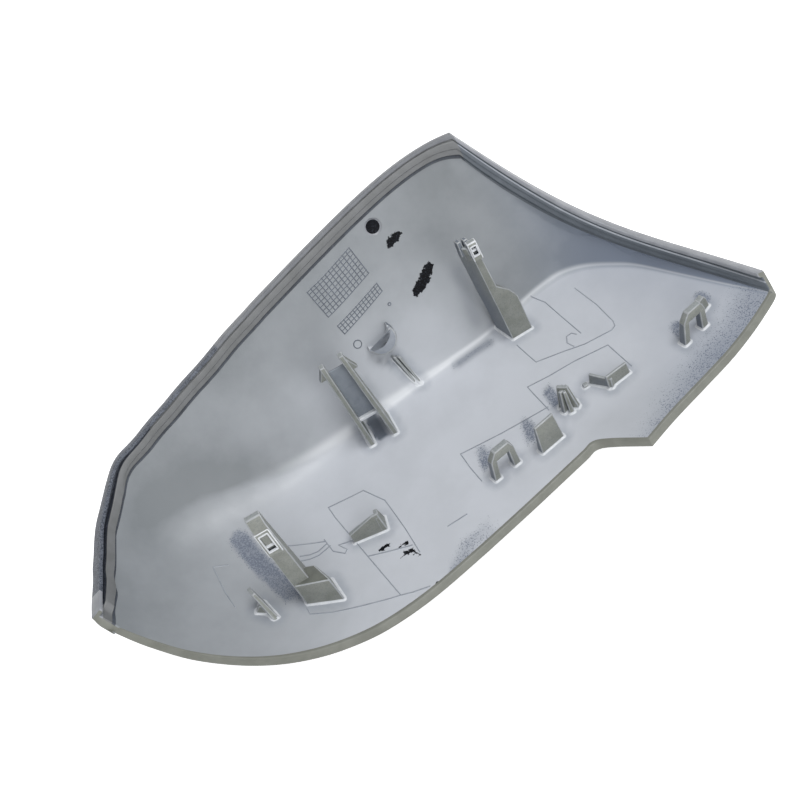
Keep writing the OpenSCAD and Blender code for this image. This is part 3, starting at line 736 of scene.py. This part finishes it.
def inboard_hook():
    """A broad foot narrowing to a leaning post, with the windowed head in front and two prongs behind."""
    p, t = seat(52, 15), HOOK_HEIGHT / 50
    foot, back, left = INBOARD_FOOT - 4.6, HOOK_DEPTH - 0.6, HOOK_WIDTH / 2 - 8
    solids = post(p, [-4.1, foot, 0, back, -1.6, -2.8], [-4.6, foot - 0.3, 1.7, back, 17.4 * t, -3.3],
                  [-4.7, foot - 0.9, 1.8, back, 19.4 * t, -3.4],
                  [-4.8, foot - 2.3, 2.1, back, 22.2 * t, -3.5],
                  [-4.9, -1.6, 2.5, back, 26.2 * t, -3.6], [left + 0.3, -2.5, 4, back + 0.5, 44 * t, -3.8])
    solids.append(bar(p, [left, -2.5, 4.4, 7, 41 * t, -2], [left - 0.4, -3, 5.2, 7, 47 * t, -2],
                      on_skin=False))
    solids += hook_head(shifted(p, left, 4, 0), HOOK_WIDTH - 0.8, 42 * t, 49 * t)
    # The two prongs behind the head are painted in shade
    outer = bar(p, [left - 2.6, left - 0.4, 6.6, back + 0.5, 43 * t, -0.6],
                [left - 2.4, left - 0.8, 7.2, back + 0.3, 49.5 * t, -0.6], on_skin=False, flat=clip_painted_shade)
    inner = bar(p, [left - 0.4, left + 2, 6, back, 42 * t, -0.6],
                [left, left + 1.6, 6.6, back - 0.4, 49.6 * t, -0.6], on_skin=False, flat=clip_painted_shade)
    return solids + [outer, inner]


def outboard_hook():
    """A straight post with the windowed head, beside a low box foot that is turned away from it."""
    p, t, w = seat(-58.5, -46), HOOK_HEIGHT / 50, HOOK_WIDTH + 0.8
    solids = post(p, [-2.2, w - 1.3, -0.4, HOOK_DEPTH - 2.1, -2], [-1, w - 1, 2.6, 6.4, 44 * t],
                  [-0.8, w - 0.8, 4, 6, 47.4 * t])
    solids += hook_head(shifted(p, -1.4, 1.9, 0), w, 31 * t, 41.6 * t)
    return solids + post(seat(-58.5, -46, -22), [-1.8, OUTBOARD_FOOT - 2.1, -1.4, 8, -2, 0, -5.5],
                         [-1.4, OUTBOARD_FOOT - 2.4, -0.4, 6.4, 11.8 * t, 0, -6], cap=foot_top)


parts = inboard_hook() + outboard_hook()


# The snap pair: two thin blades with barbs and a web between them, open under the web, so that each
# blade can bend when the mirror housing is pushed on. Moulded with the skin.
SNAP_HEIGHT = 46
SNAP_PITCH = 9.4
SNAP_BLADE = 2.0
SNAP_DEPTH = 11
SNAP_GAP = 12
BARB = 2.8
snap = seat(-12.1, 8.6)
q, b, h = SNAP_PITCH / 2, SNAP_BLADE / 2, SNAP_HEIGHT
# The two blades, then their barbs, then the web in painted shade and the shelf at its foot
# painted bright as a highlight
parts += post(snap, [-q - b, b - q, -4.2, SNAP_DEPTH - 4.2, -1.4], [-q - b - 0.6, b - q - 0.8, -2.8, -0.4, h])
parts += post(snap, [q - b, q + b, -4.6, SNAP_DEPTH - 4.6, -1.4],
              [q - b - 2.5, q + b - 2.7, -2.8, -0.4, h + 0.6])
parts.append(bar(snap, [-q - b - BARB, -q, -2.6, -0.6, h - 6], [-q - 1.5, -q - 0.6, -2.6, -0.6, h - 1],
                 ease=0.25, on_skin=False))
parts.append(bar(snap, [q - 2.2, q + BARB - 2, -2.6, -0.6, h - 8], [q - 2.6, q - 1.8, -2.6, -0.6, h - 1],
                 ease=0.25, on_skin=False))
parts.append(bar(snap, [-q, q, -0.6, 1.2, SNAP_GAP], [-q - 0.6, q - 2.2, 0, 0.8, h - 6],
                 on_skin=False, flat=web_painted_shade, edge_look=web_painted_shade))
parts.append(bar(snap, [-q, q, -1.9, SNAP_DEPTH - 5.4, SNAP_GAP],
                 [-q, q, -1.9, SNAP_DEPTH - 6.6, SNAP_GAP + 1.5],
                 on_skin=False, flat=root_primer_and_highlight, edge_look=root_primer_and_highlight))


# The small clips along the lower edge: two arches, a plate, a cross rib, a bent wall, a wedge and a fin,
# which locate and brace the cover on the housing. All are moulded with the skin.
ARCH_HEIGHT = 13
ARCH_WIDTH = 11.5
ARCH_BAR = 2.6
PLATE_HEIGHT = 14
PLATE_WIDTH = 10
CROSS_HEIGHT = 12


def arch(p):
    """Two legs and a crossbar with cut corners."""
    w, b, d, h = ARCH_WIDTH / 2, ARCH_BAR, ARCH_BAR / 2, ARCH_HEIGHT
    leg = post(p, [-w, b - w, -d - 0.3, d + 0.3, -1.5], [1.7 - w, b - w + 1.5, -d, d, h - 3.4])
    straight_leg = post(p, [w - b - 0.2, w, -d - 0.3, d + 0.3, -1.5], [w - b + 0.2, w, -d, d, h - 3.2])
    crossbar = bar(p, [1.7 - w, w, -d, d, h - 4.1], [1.7 - w, w, -d, d, h - 3.4],
                   [4.4 - w, w - 1.2, 0.2 - d, d, h], on_skin=False)
    return leg + straight_leg + [crossbar]


# The two arches, and the small bent peg beside the inboard one
parts += arch(seat(19.4, -36, 12)) + arch(seat(98.9, -28.1, 14))
small = seat(108, -20.5, 24)
parts += post(small, [-1.6, 1.6, -1.3, 1.3, -1.6], [-2.4, 0.4, -1.1, 1.1, 5.4])
parts.append(bar(small, [-3.6, 0.4, -1.1, 1.1, 4.6], [-3.2, -0.4, -1.1, 1.1, 6.6], on_skin=False))
# The plate, thinner at its top
plate = seat(37.3, -35.9, 13)
parts += post(plate, [-PLATE_WIDTH / 2, PLATE_WIDTH / 2, -1.5, 1.5, -1.5],
              [1.1 - PLATE_WIDTH / 2, PLATE_WIDTH / 2 - 0.9, -1.1, -0.1, PLATE_HEIGHT])
# The cross rib: three thin ribs through one point
for turn, half, cut in ((-40, 4, 0), (22, 3.6, 1.4), (82, 3.6, 1.4)):
    parts += post(seat(49.9, -25.8, turn), [-half, half, -0.9, 0.9, -1.5],
                  [-2, 2, -0.6, 0.6, CROSS_HEIGHT - cut])
# The bent wall in two legs, with a pip at its outboard end
parts += post(seat(63.6, -24.6, -53), [-4.6, 5, -1.2, 1.2, -1.5], [-3.6, 5, -0.9, 0.1, 5.2])
parts += post(seat(69.1, -26.9, 8), [-4.8, 4.8, -1.2, 1.2, -1.5], [-4.6, 4.2, -0.9, 0.1, 6.2])
parts += post(seat(58.8, -21.6, 0), [-1.1, 1.1, -1.1, 1.1, -1.2], [-0.9, 0.9, -0.9, 0.9, 1.2], radius=0.4)
# The wedge with its side leg, and the fin
wedge = seat(-31.8, -31.2, -8)
parts += post(wedge, [-6.4, 6.4, -1.2, 1.2, -1.5], [-6.2, 6.2, -0.9, 0.8, 5], [4.2, 6, -0.7, 0.3, 10])
parts += post(wedge, [3.9, 6.4, -1.2, 5.4, -1.5], [4.6, 6.1, -0.8, 3, 8.5])
parts += post(seat(-72.6, -43, -73), [-5, 5.2, -1, 1, -2], [-5.2, -1.6, -0.7, 0.7, 10.5])
parts += post(seat(-72.6, -43, -28), [-6.6, -0.4, -1, 1, -2], [-1.6, -0.6, -0.7, 0.7, 5])

# The crescent cradle stands square to the wall and steadies a rib of the housing. Two thin ribs run from
# it down to the fold. Moulded ABS, painted bright along the inner curve as pooled primer with a highlight,
# and painted in shade on its outer side.
CRADLE_RADIUS = 5.8
CRADLE_OPENING = 1.07
CRADLE_TILT = math.radians(118)
OUTER_CUTS = 32
INNER_CUTS = 26
cradle_at = np.array([5.1, 25.5, 24.8])
cradle_in = np.array([0, math.sin(CRADLE_TILT), math.cos(CRADLE_TILT)])
cradle_down = np.cross(cradle_in, [1, 0, 0])
hollow = np.array([-0.34, -0.73]) * CRADLE_RADIUS
apart = np.linalg.norm(hollow)
# Half angles at which the outer circle and the circle of the hollow cross
half_outer = math.acos((apart**2 + CRADLE_RADIUS**2 * (1 - CRADLE_OPENING**2)) / (2 * apart * CRADLE_RADIUS))
half_inner = math.asin(CRADLE_RADIUS * math.sin(half_outer) / (CRADLE_OPENING * CRADLE_RADIUS))
towards = math.atan2(hollow[1], hollow[0])
outer_arc = [CRADLE_RADIUS * np.array([math.cos(towards + a), math.sin(towards + a)])
             for a in np.linspace(half_outer + 0.03, 2 * math.pi - half_outer - 0.03, OUTER_CUTS)]
inner_from = towards + (math.pi if CRADLE_OPENING * CRADLE_RADIUS * math.cos(half_inner) > 0 else 0)
inner_radius = CRADLE_OPENING * CRADLE_RADIUS
inner_arc = [hollow + inner_radius * np.array([math.cos(inner_from + a), math.sin(inner_from + a)])
             for a in np.linspace(half_inner - 0.03, 0.03 - half_inner, INNER_CUTS)]
crescent = np.array(outer_arc + inner_arc)


def crescent_level(inset, depth):
    """The crescent drawn in by the inset, at a depth behind its front."""
    before, after = np.roll(crescent, 1, 0), np.roll(crescent, -1, 0)
    along = unit(after - before)
    flat = crescent - inset * np.stack([along[:, 1], -along[:, 0]], -1)
    return cradle_at + flat[:, :1] * np.array([1, 0, 0]) + flat[:, 1:] * cradle_down + depth * cradle_in


def cradle_finish(i, j):
    """Thin primer on the front, pooled primer and a painted highlight in the hollow, a painted highlight
    on the edge and painted shade on the outer side.
    """
    if j < 0:
        return cradle_grey
    if j >= OUTER_CUTS:
        return root_primer_and_highlight
    return edge_painted_highlight if i > 0 else clip_painted_shade


cradle_grey = plain_finish("thin_primer_on_the_cradle", "#848a94", "#9298a1", 0.4, 0.003)
# The outer side runs on until it is sunk into the skin
lowest = crescent_level(0, 0)
reach = np.zeros(len(lowest))
for _ in range(40):
    p = lowest + reach[:, None] * cradle_in
    reach += np.clip(p[:, 2] - face(p[:, 0], p[:, 1]) + 1.5, 0, 1) * 0.5
sections = [lowest + reach[:, None] * cradle_in]
sections += [crescent_level(inset, depth) for inset, depth in ((0, 0.8), (0.2, 0.25), (0.65, 0))]
parts.append(loft("cradle", sections, cradle_finish))
for x, y in ((8.1, 20.1), (9.7, 19.7)):
    parts += post(seat(x, y, 26), [-0.45, 0.45, -1.5, 6, -1], [-0.45, 0.45, 4.2, 6, 12], radius=0.25)

# Witness lines, two lattices and the round marks: low raised lines that the joints between mould inserts
# and the ejector pins leave, about 0.12 mm proud. They are moulded with the skin. The side of each that
# faces the light is painted light, and its top and other side painted in shade.
# Drawn 0.2 mm high and 0.5 mm wide, since the real ones would not show.
LINE_WIDTH = 0.46
LINE_HEIGHT = 0.2
GRID_WIDTH = 0.5
line_painted_light = plain_finish("painted_light_side_of_witness_lines", "#b9bdc2", "#c6cace", 0.42, 0.004)
line_painted_shade = plain_finish("painted_shade_side_of_witness_lines", "#878d96", "#959ba3", 0.42, 0.004)
lattice_painted_light = plain_finish("painted_light_side_of_lattice", "#a9adb3", "#b7bbc0", 0.42, 0.004)
lattice_painted_shade = plain_finish("painted_shade_side_of_lattice", "#4f5660", "#5f6670", 0.42, 0.004)
# The side of a line that faces this way is painted light, and its top and the other side painted in shade
LIT_FROM = np.array([0.4, 0.7, 0.4])


def ribbon(points, width, height, lit, dim, loop=False):
    """A low raised line on the skin through plan points."""
    path = [np.array(p[:2], float) for p in points]
    if loop:
        path.append(path[0])
    fine = []
    for a, b in zip(path[:-1], path[1:]):
        count = max(1, int(np.linalg.norm(b - a) / 1.5))
        fine += [a + (b - a) * t / count for t in range(count)]
    fine = np.array(fine + [path[-1]])
    if loop:
        before, after = np.roll(fine[:-1], 1, 0), np.roll(fine[:-1], -1, 0)
        spots = on(fine[:-1])
    else:
        before, after = np.vstack([fine[:1], fine[:-1]]), np.vstack([fine[1:], fine[-1:]])
        spots = on(fine)
    normals = normal(spots[:, 0], spots[:, 1])
    tangents = unit(on(after) - on(before))
    sides = unit(np.cross(normals, tangents))
    if not loop:
        spots[0] -= tangents[0] * width * 0.4
        spots[-1] += tangents[-1] * width * 0.4
    sections = [np.array([p - s * width * 0.62 - n * 0.35, p - s * width * 0.3 + n * height,
                          p + s * width * 0.3 + n * height, p + s * width * 0.62 - n * 0.35])
                for p, s, n in zip(spots, sides, normals)]
    # Painted light on the side towards LIT_FROM, painted shade on the top and on the side away from it
    away = 2 if (sides @ LIT_FROM).mean() < 0 else 0
    look = [dim if j in (away, 1) else lit for j in range(4)]
    if not loop:
        return loft("line", sections, lambda i, j: look[j])
    m = len(sections)
    faces = [(i * 4 + j, i * 4 + (j + 1) % 4, (i + 1) % m * 4 + (j + 1) % 4, (i + 1) % m * 4 + j)
             for i in range(m) for j in range(4)]
    return solid("line", np.vstack(sections), faces, [look[k % 4] for k in range(len(faces))])


# Plan points of the lines: around the wedge, beside the outboard hook, around the lower clips, and inboard
lines = [
    [(-41.2, -11.2), (-27.4, -11.8)], [(-41.2, -11.2), (-40.5, -16.7), (-37.5, -31.2), (-31.3, -61.1)],
    [(-27.4, -11.8), (-22.1, -20.7), (-20.3, -36.3), (-19.5, -48.9)],
    [(-31.3, -61.1), (-35.6, -59.9), (-44.9, -56.9), (-53.7, -54.0), (-60.8, -50.7), (-61.0, -47.8)],
    [(-35.5, -39.4), (-28.3, -42.0), (-20.8, -44.5)], [(-31.3, -61.1), (-27.3, -62.5), (-21.6, -63.8)],
    [(-60.6, -19.0), (-54, -21.6), (-47.1, -24.4)],
    [(-56.9, -25.8), (-53.6, -26.9), (-50.6, -27.1), (-46.7, -25.6)],
    [(-58.2, -27.6), (-54.2, -28.7), (-50.8, -28.8), (-46.1, -27.2)],
    [(-47.1, -23.6), (-45.9, -30.0), (-42.5, -33.3), (-41.3, -32.1), (-43.5, -28.6), (-39.2, -29.5),
     (-36.9, -30.6)],
    [(9.0, -19.3), (24.5, -20.4), (43.7, -20.9)], [(9.0, -19.3), (9.4, -27), (10.4, -35.0)],
    [(42.0, -7.9), (50.6, -8.7), (61.2, -9.0), (74.0, -10.9), (75.6, -25.1)], [(42.0, -7.9), (43.4, -22.3)],
    [(62.8, 28.4), (65.8, 22.6), (69.2, 0.7)],
    [(77.8, 20.6), (80.2, 8.0), (80.9, -2.6), (80.3, -5.0), (78.5, -5.9), (67.8, -4.7), (59.5, -2.2),
     (49.8, 0.2), (47.8, 11.9)],
    [(64.2, -3.0), (63.0, 0.2), (64.2, 2.9), (66.4, 3.1), (67.6, 1.4)],
    [(-82.4, -36.2), (-83.9, -28.8), (-84.8, -17.2), (-80.1, -18.3)], [(-7.2, -45.0), (0.3, -44.5)]]
marks = [ribbon(points, LINE_WIDTH, LINE_HEIGHT, line_painted_light, line_painted_shade) for points in lines]


def grid(corners, columns, rows, first_row):
    """A lattice of raised lines between four plan corners; the first row of cells is narrower."""
    a, b, c, d = [np.array(p, float) for p in corners]
    across = [0] + list(first_row + (1 - first_row) * np.arange(rows) / (rows - 1))
    ends = [(a + (b - a) * v, d + (c - d) * v) for v in across]
    ends += [(a + (d - a) * v, b + (c - b) * v) for v in np.arange(columns + 1) / columns]
    return [ribbon(pair, GRID_WIDTH, LINE_HEIGHT, lattice_painted_light, lattice_painted_shade) for pair in ends]


marks += grid([(11.4, 46.3), (13.1, 41.2), (-7.4, 35.9), (-9.5, 40.9)], 12, 8, 0.09)
marks += grid([(13.8, 39.1), (14.2, 37.5), (-5.4, 32.3), (-6.2, 34.0)], 13, 3, 0.26)


def circle_at(x, y, cuts):
    """A point of the inner face, its upright direction, and unit steps in a circle around it."""
    p, n = on(np.array([x, y])), normal(x, y)
    e = unit(np.cross(n, [1, 0, 0.0]))
    g = np.cross(n, e)
    return p, n, [math.cos(t) * e + math.sin(t) * g for t in np.linspace(0, 2 * math.pi, cuts, False)]


def round_mark(x, y, radius):
    p, _, steps = circle_at(x, y, 24)
    points = [p + radius * step for step in steps]
    return ribbon(points, GRID_WIDTH, LINE_HEIGHT, lattice_painted_light, lattice_painted_shade, loop=True)


marks += [round_mark(-3.2, 29.9, 1.5), round_mark(14.2, 34.9, 0.5)]
for part in parts + marks:
    merge(cover, part)

# The round recess near the upper rim, where a mould pin shut off. It is blacked over by hand with marker,
# and its rim is painted light: full primer with a painted highlight.
RECESS_RADIUS = 3.2
marker = plain_finish("marker_ink", "#07080b", "#101218", 0.6, 0.0015, "#2a2e36", 0.14, 1.2)
p, n, steps = circle_at(22.6, 48.3, 48)
levels = [(-0.7, RECESS_RADIUS - 1), (-0.55, RECESS_RADIUS - 0.6), (-0.1, RECESS_RADIUS),
          (0.2, RECESS_RADIUS + 0.1), (3, RECESS_RADIUS + 0.6)]
rings_down = [np.array([p + up * n + radius * step for step in steps]) for up, radius in levels]
merge(cover, loft("recess", rings_down, lambda i, j: marker if i < 1 else lip_primer_and_highlight), "DIFFERENCE")


# The spray, the marker and painted light on the skin. Primer pools in the fold and at the roots, where a
# painted highlight is added; painted shade rings each clip and lies beside some and under the web, and dry
# dust lands beside them. The mesh keeps each as a share or a distance for the primer.
def near(points, strokes):
    """Distance from each point to the nearest stroke, each given by plan points on the inner face."""
    best = np.full(len(points), 1e3)
    for stroke in strokes:
        line = on(np.array(stroke, float))
        for a, b in zip(line[:-1], line[1:]) if len(line) > 1 else [(line[0], line[0])]:
            ab = b - a
            t = np.clip((points - a) @ ab / max(1e-9, ab @ ab), 0, 1)
            best = np.minimum(best, np.linalg.norm(points - a - t[:, None] * ab, axis=1))
    return best


mesh = cover.data
spots = np.empty(len(mesh.vertices) * 3)
mesh.vertices.foreach_get("co", spots)
spots = spots.reshape(-1, 3)
x, y = spots[:, 0], spots[:, 1]
height = (spots[:, 2] - face(x, y)) * normal(x, y)[:, 2]
inner = ramp(height, -1.2, -0.4)
beyond = past_fold(x, y)
on_floor = 1 - ramp(beyond, -2.6, 0.8)
on_wall = 1 - on_floor
# How full the coat is: thin outboard, full in the middle, thinner inboard, low down and up the wall
tone = on_floor * (0.14 + 0.82 * ramp(x, -110, -22) - 0.3 * ramp(x, 45, 125)
                   - 0.25 * ramp(-y, 28, 42) * ramp(x, 35, 60))
tone += on_wall * (0.14 + 0.2 * ramp(x, -90, 0) * (1 - ramp(x, 20, 60)) - 0.2 * ramp(x, 60, 95)
                   + 0.3 * (1 - ramp(beyond, 2, 24)) * ramp(x, -70, -25) * (1 - ramp(x, 35, 60))
                   - 0.2 * ramp(beyond, 8, 28) * ramp(x, -75, -45) * (1 - ramp(x, 45, 70)))
# Painted shade along the fold outboard, which damps the highlight the fold catches from the key light
tone -= 0.2 * np.exp(-((beyond - 1.5) / 7) ** 2) * ramp(-x, 12, 45) * (1 - ramp(-x, 95, 110))
# The bright line in the fold, sharper inboard: pooled primer and a painted sheen from the key light
fold_line = np.exp(-(beyond / (0.7 + 1.1 * ramp(-x, -40, 20))) ** 2) * (height < 0.5)
crease = fold_line * ramp(x, -75, -35) * (0.5 + 0.5 * ramp(x, -48, -18)) * (1 - 0.35 * ramp(x, 20, 60))
feet = np.array([v for part_feet in foot_rings for v in part_feet])
tree_of_feet = kdtree.KDTree(len(feet))
for i, v in enumerate(feet):
    tree_of_feet.insert(v, i)
tree_of_feet.balance()
root_gap = np.array([min(20.0, tree_of_feet.find(v)[2]) for v in spots])
INK = [[(29.0, 45.8), (27.0, 45.4), (25.4, 44.9)], [(33.6, 38.6), (31.0, 37.4), (28.3, 36.3), (25.2, 35.2)]]
INK_THIN = [[(-30.9, -39.6), (-28.2, -39.5), (-25.6, -40.9), (-21.7, -42.7)],
            [(-28.3, -44.9), (-24.9, -45.9), (-21.3, -46.5)], [(-19.7, -51.1)], [(-20.4, -56.9)],
            [(-19.6, -63.3)]]
ink = np.minimum(near(spots, INK), near(spots, INK_THIN) + 1.0)


def strongest_of_strokes(*passes):
    """The strongest of several strokes: share, distance where it is full, where it ends, and strokes."""
    return np.maximum.reduce([share * (1 - ramp(near(spots, strokes), full, none))
                              for share, full, none, strokes in passes])


# Dry dust beside the outboard hook and the small clips, along the lower edge, and in the smudge
SMUDGE = [[(24.2, 18.4), (33.1, 19.6), (41.0, 19.9)]]
dry = strongest_of_strokes(
    (1, 2.4, 4.8, [[(-73.4, -10.0), (-69.9, -23.5), (-64.4, -38.5)]]),
    (1, 0.8, 3.6, [[(16.2, -23.2), (14.9, -30.3)], [(34.3, -22.6), (33.0, -30.0)],
                   [(47.2, -15.1), (46.8, -20.5)], [(96.6, -20.2), (95.7, -24.9)],
                   [(109.6, -15.2), (109.6, -17.7)]]),
    (0.62, 1, 16, [[(121.7, -30.7), (110.9, -38.0), (100.2, -42.4), (89.1, -47.5), (77.9, -53.1),
                    (69.5, -57.7)]]),
    (0.7, 0.5, 5, [[(-11.7, -62.3), (-3.9, -56.9), (4.2, -55.6)]]), (0.35, 0.4, 2.2, SMUDGE))
# Painted shade beside the inboard hook, the snap pair and the cradle and under the web, and the dark smudge
shade = strongest_of_strokes(
    (0.35, 0.5, 6, [[(42.5, 36.8), (40.8, 31.7), (39.3, 26.4)]]),
    (0.08, 0.5, 6, [[(-22.3, 24.5), (-21.7, 20.3), (-20.8, 15.1)]]),
    (0.3, 0.5, 5, [[(-8.2, 22.9), (-7.0, 19.7)]]),
    (0.5, 0.3, 3, [[(0.3, 26.1), (4.1, 24.6), (7.5, 25.2)]]), (1, 2.2, 3.6, [[(-12.5, 8), (-12.3, 14)]]),
    (0.6, 0.2, 4.2, [[(25.5, 18.6), (33.1, 19.6), (39.5, 19.8)]]))
for name, values in (("tone", tone), ("crease", crease * inner), ("root", root_gap),
                     ("ink", ink + 20 * (1 - inner)), ("dry", dry * inner), ("shade", shade * inner)):
    numbers = np.asarray(values, np.float32)
    mesh.attributes.new(name, "FLOAT", "POINT").data.foreach_set("value", numbers)

# The finished moulding goes to its rest pose in metres. Its eased corners shade smoothly, and only
# turns sharper than 32 degrees stay crisp.
MILLIMETRE = 0.001
CRISP_FROM = 32
mesh.transform(rest @ Matrix.Scale(MILLIMETRE, 4))
mesh.name = "cover_moulding"
for polygon in mesh.polygons:
    polygon.use_smooth = True
mesh.set_sharp_from_angle(angle=math.radians(CRISP_FROM))
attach(cover, "root")
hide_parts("cover")
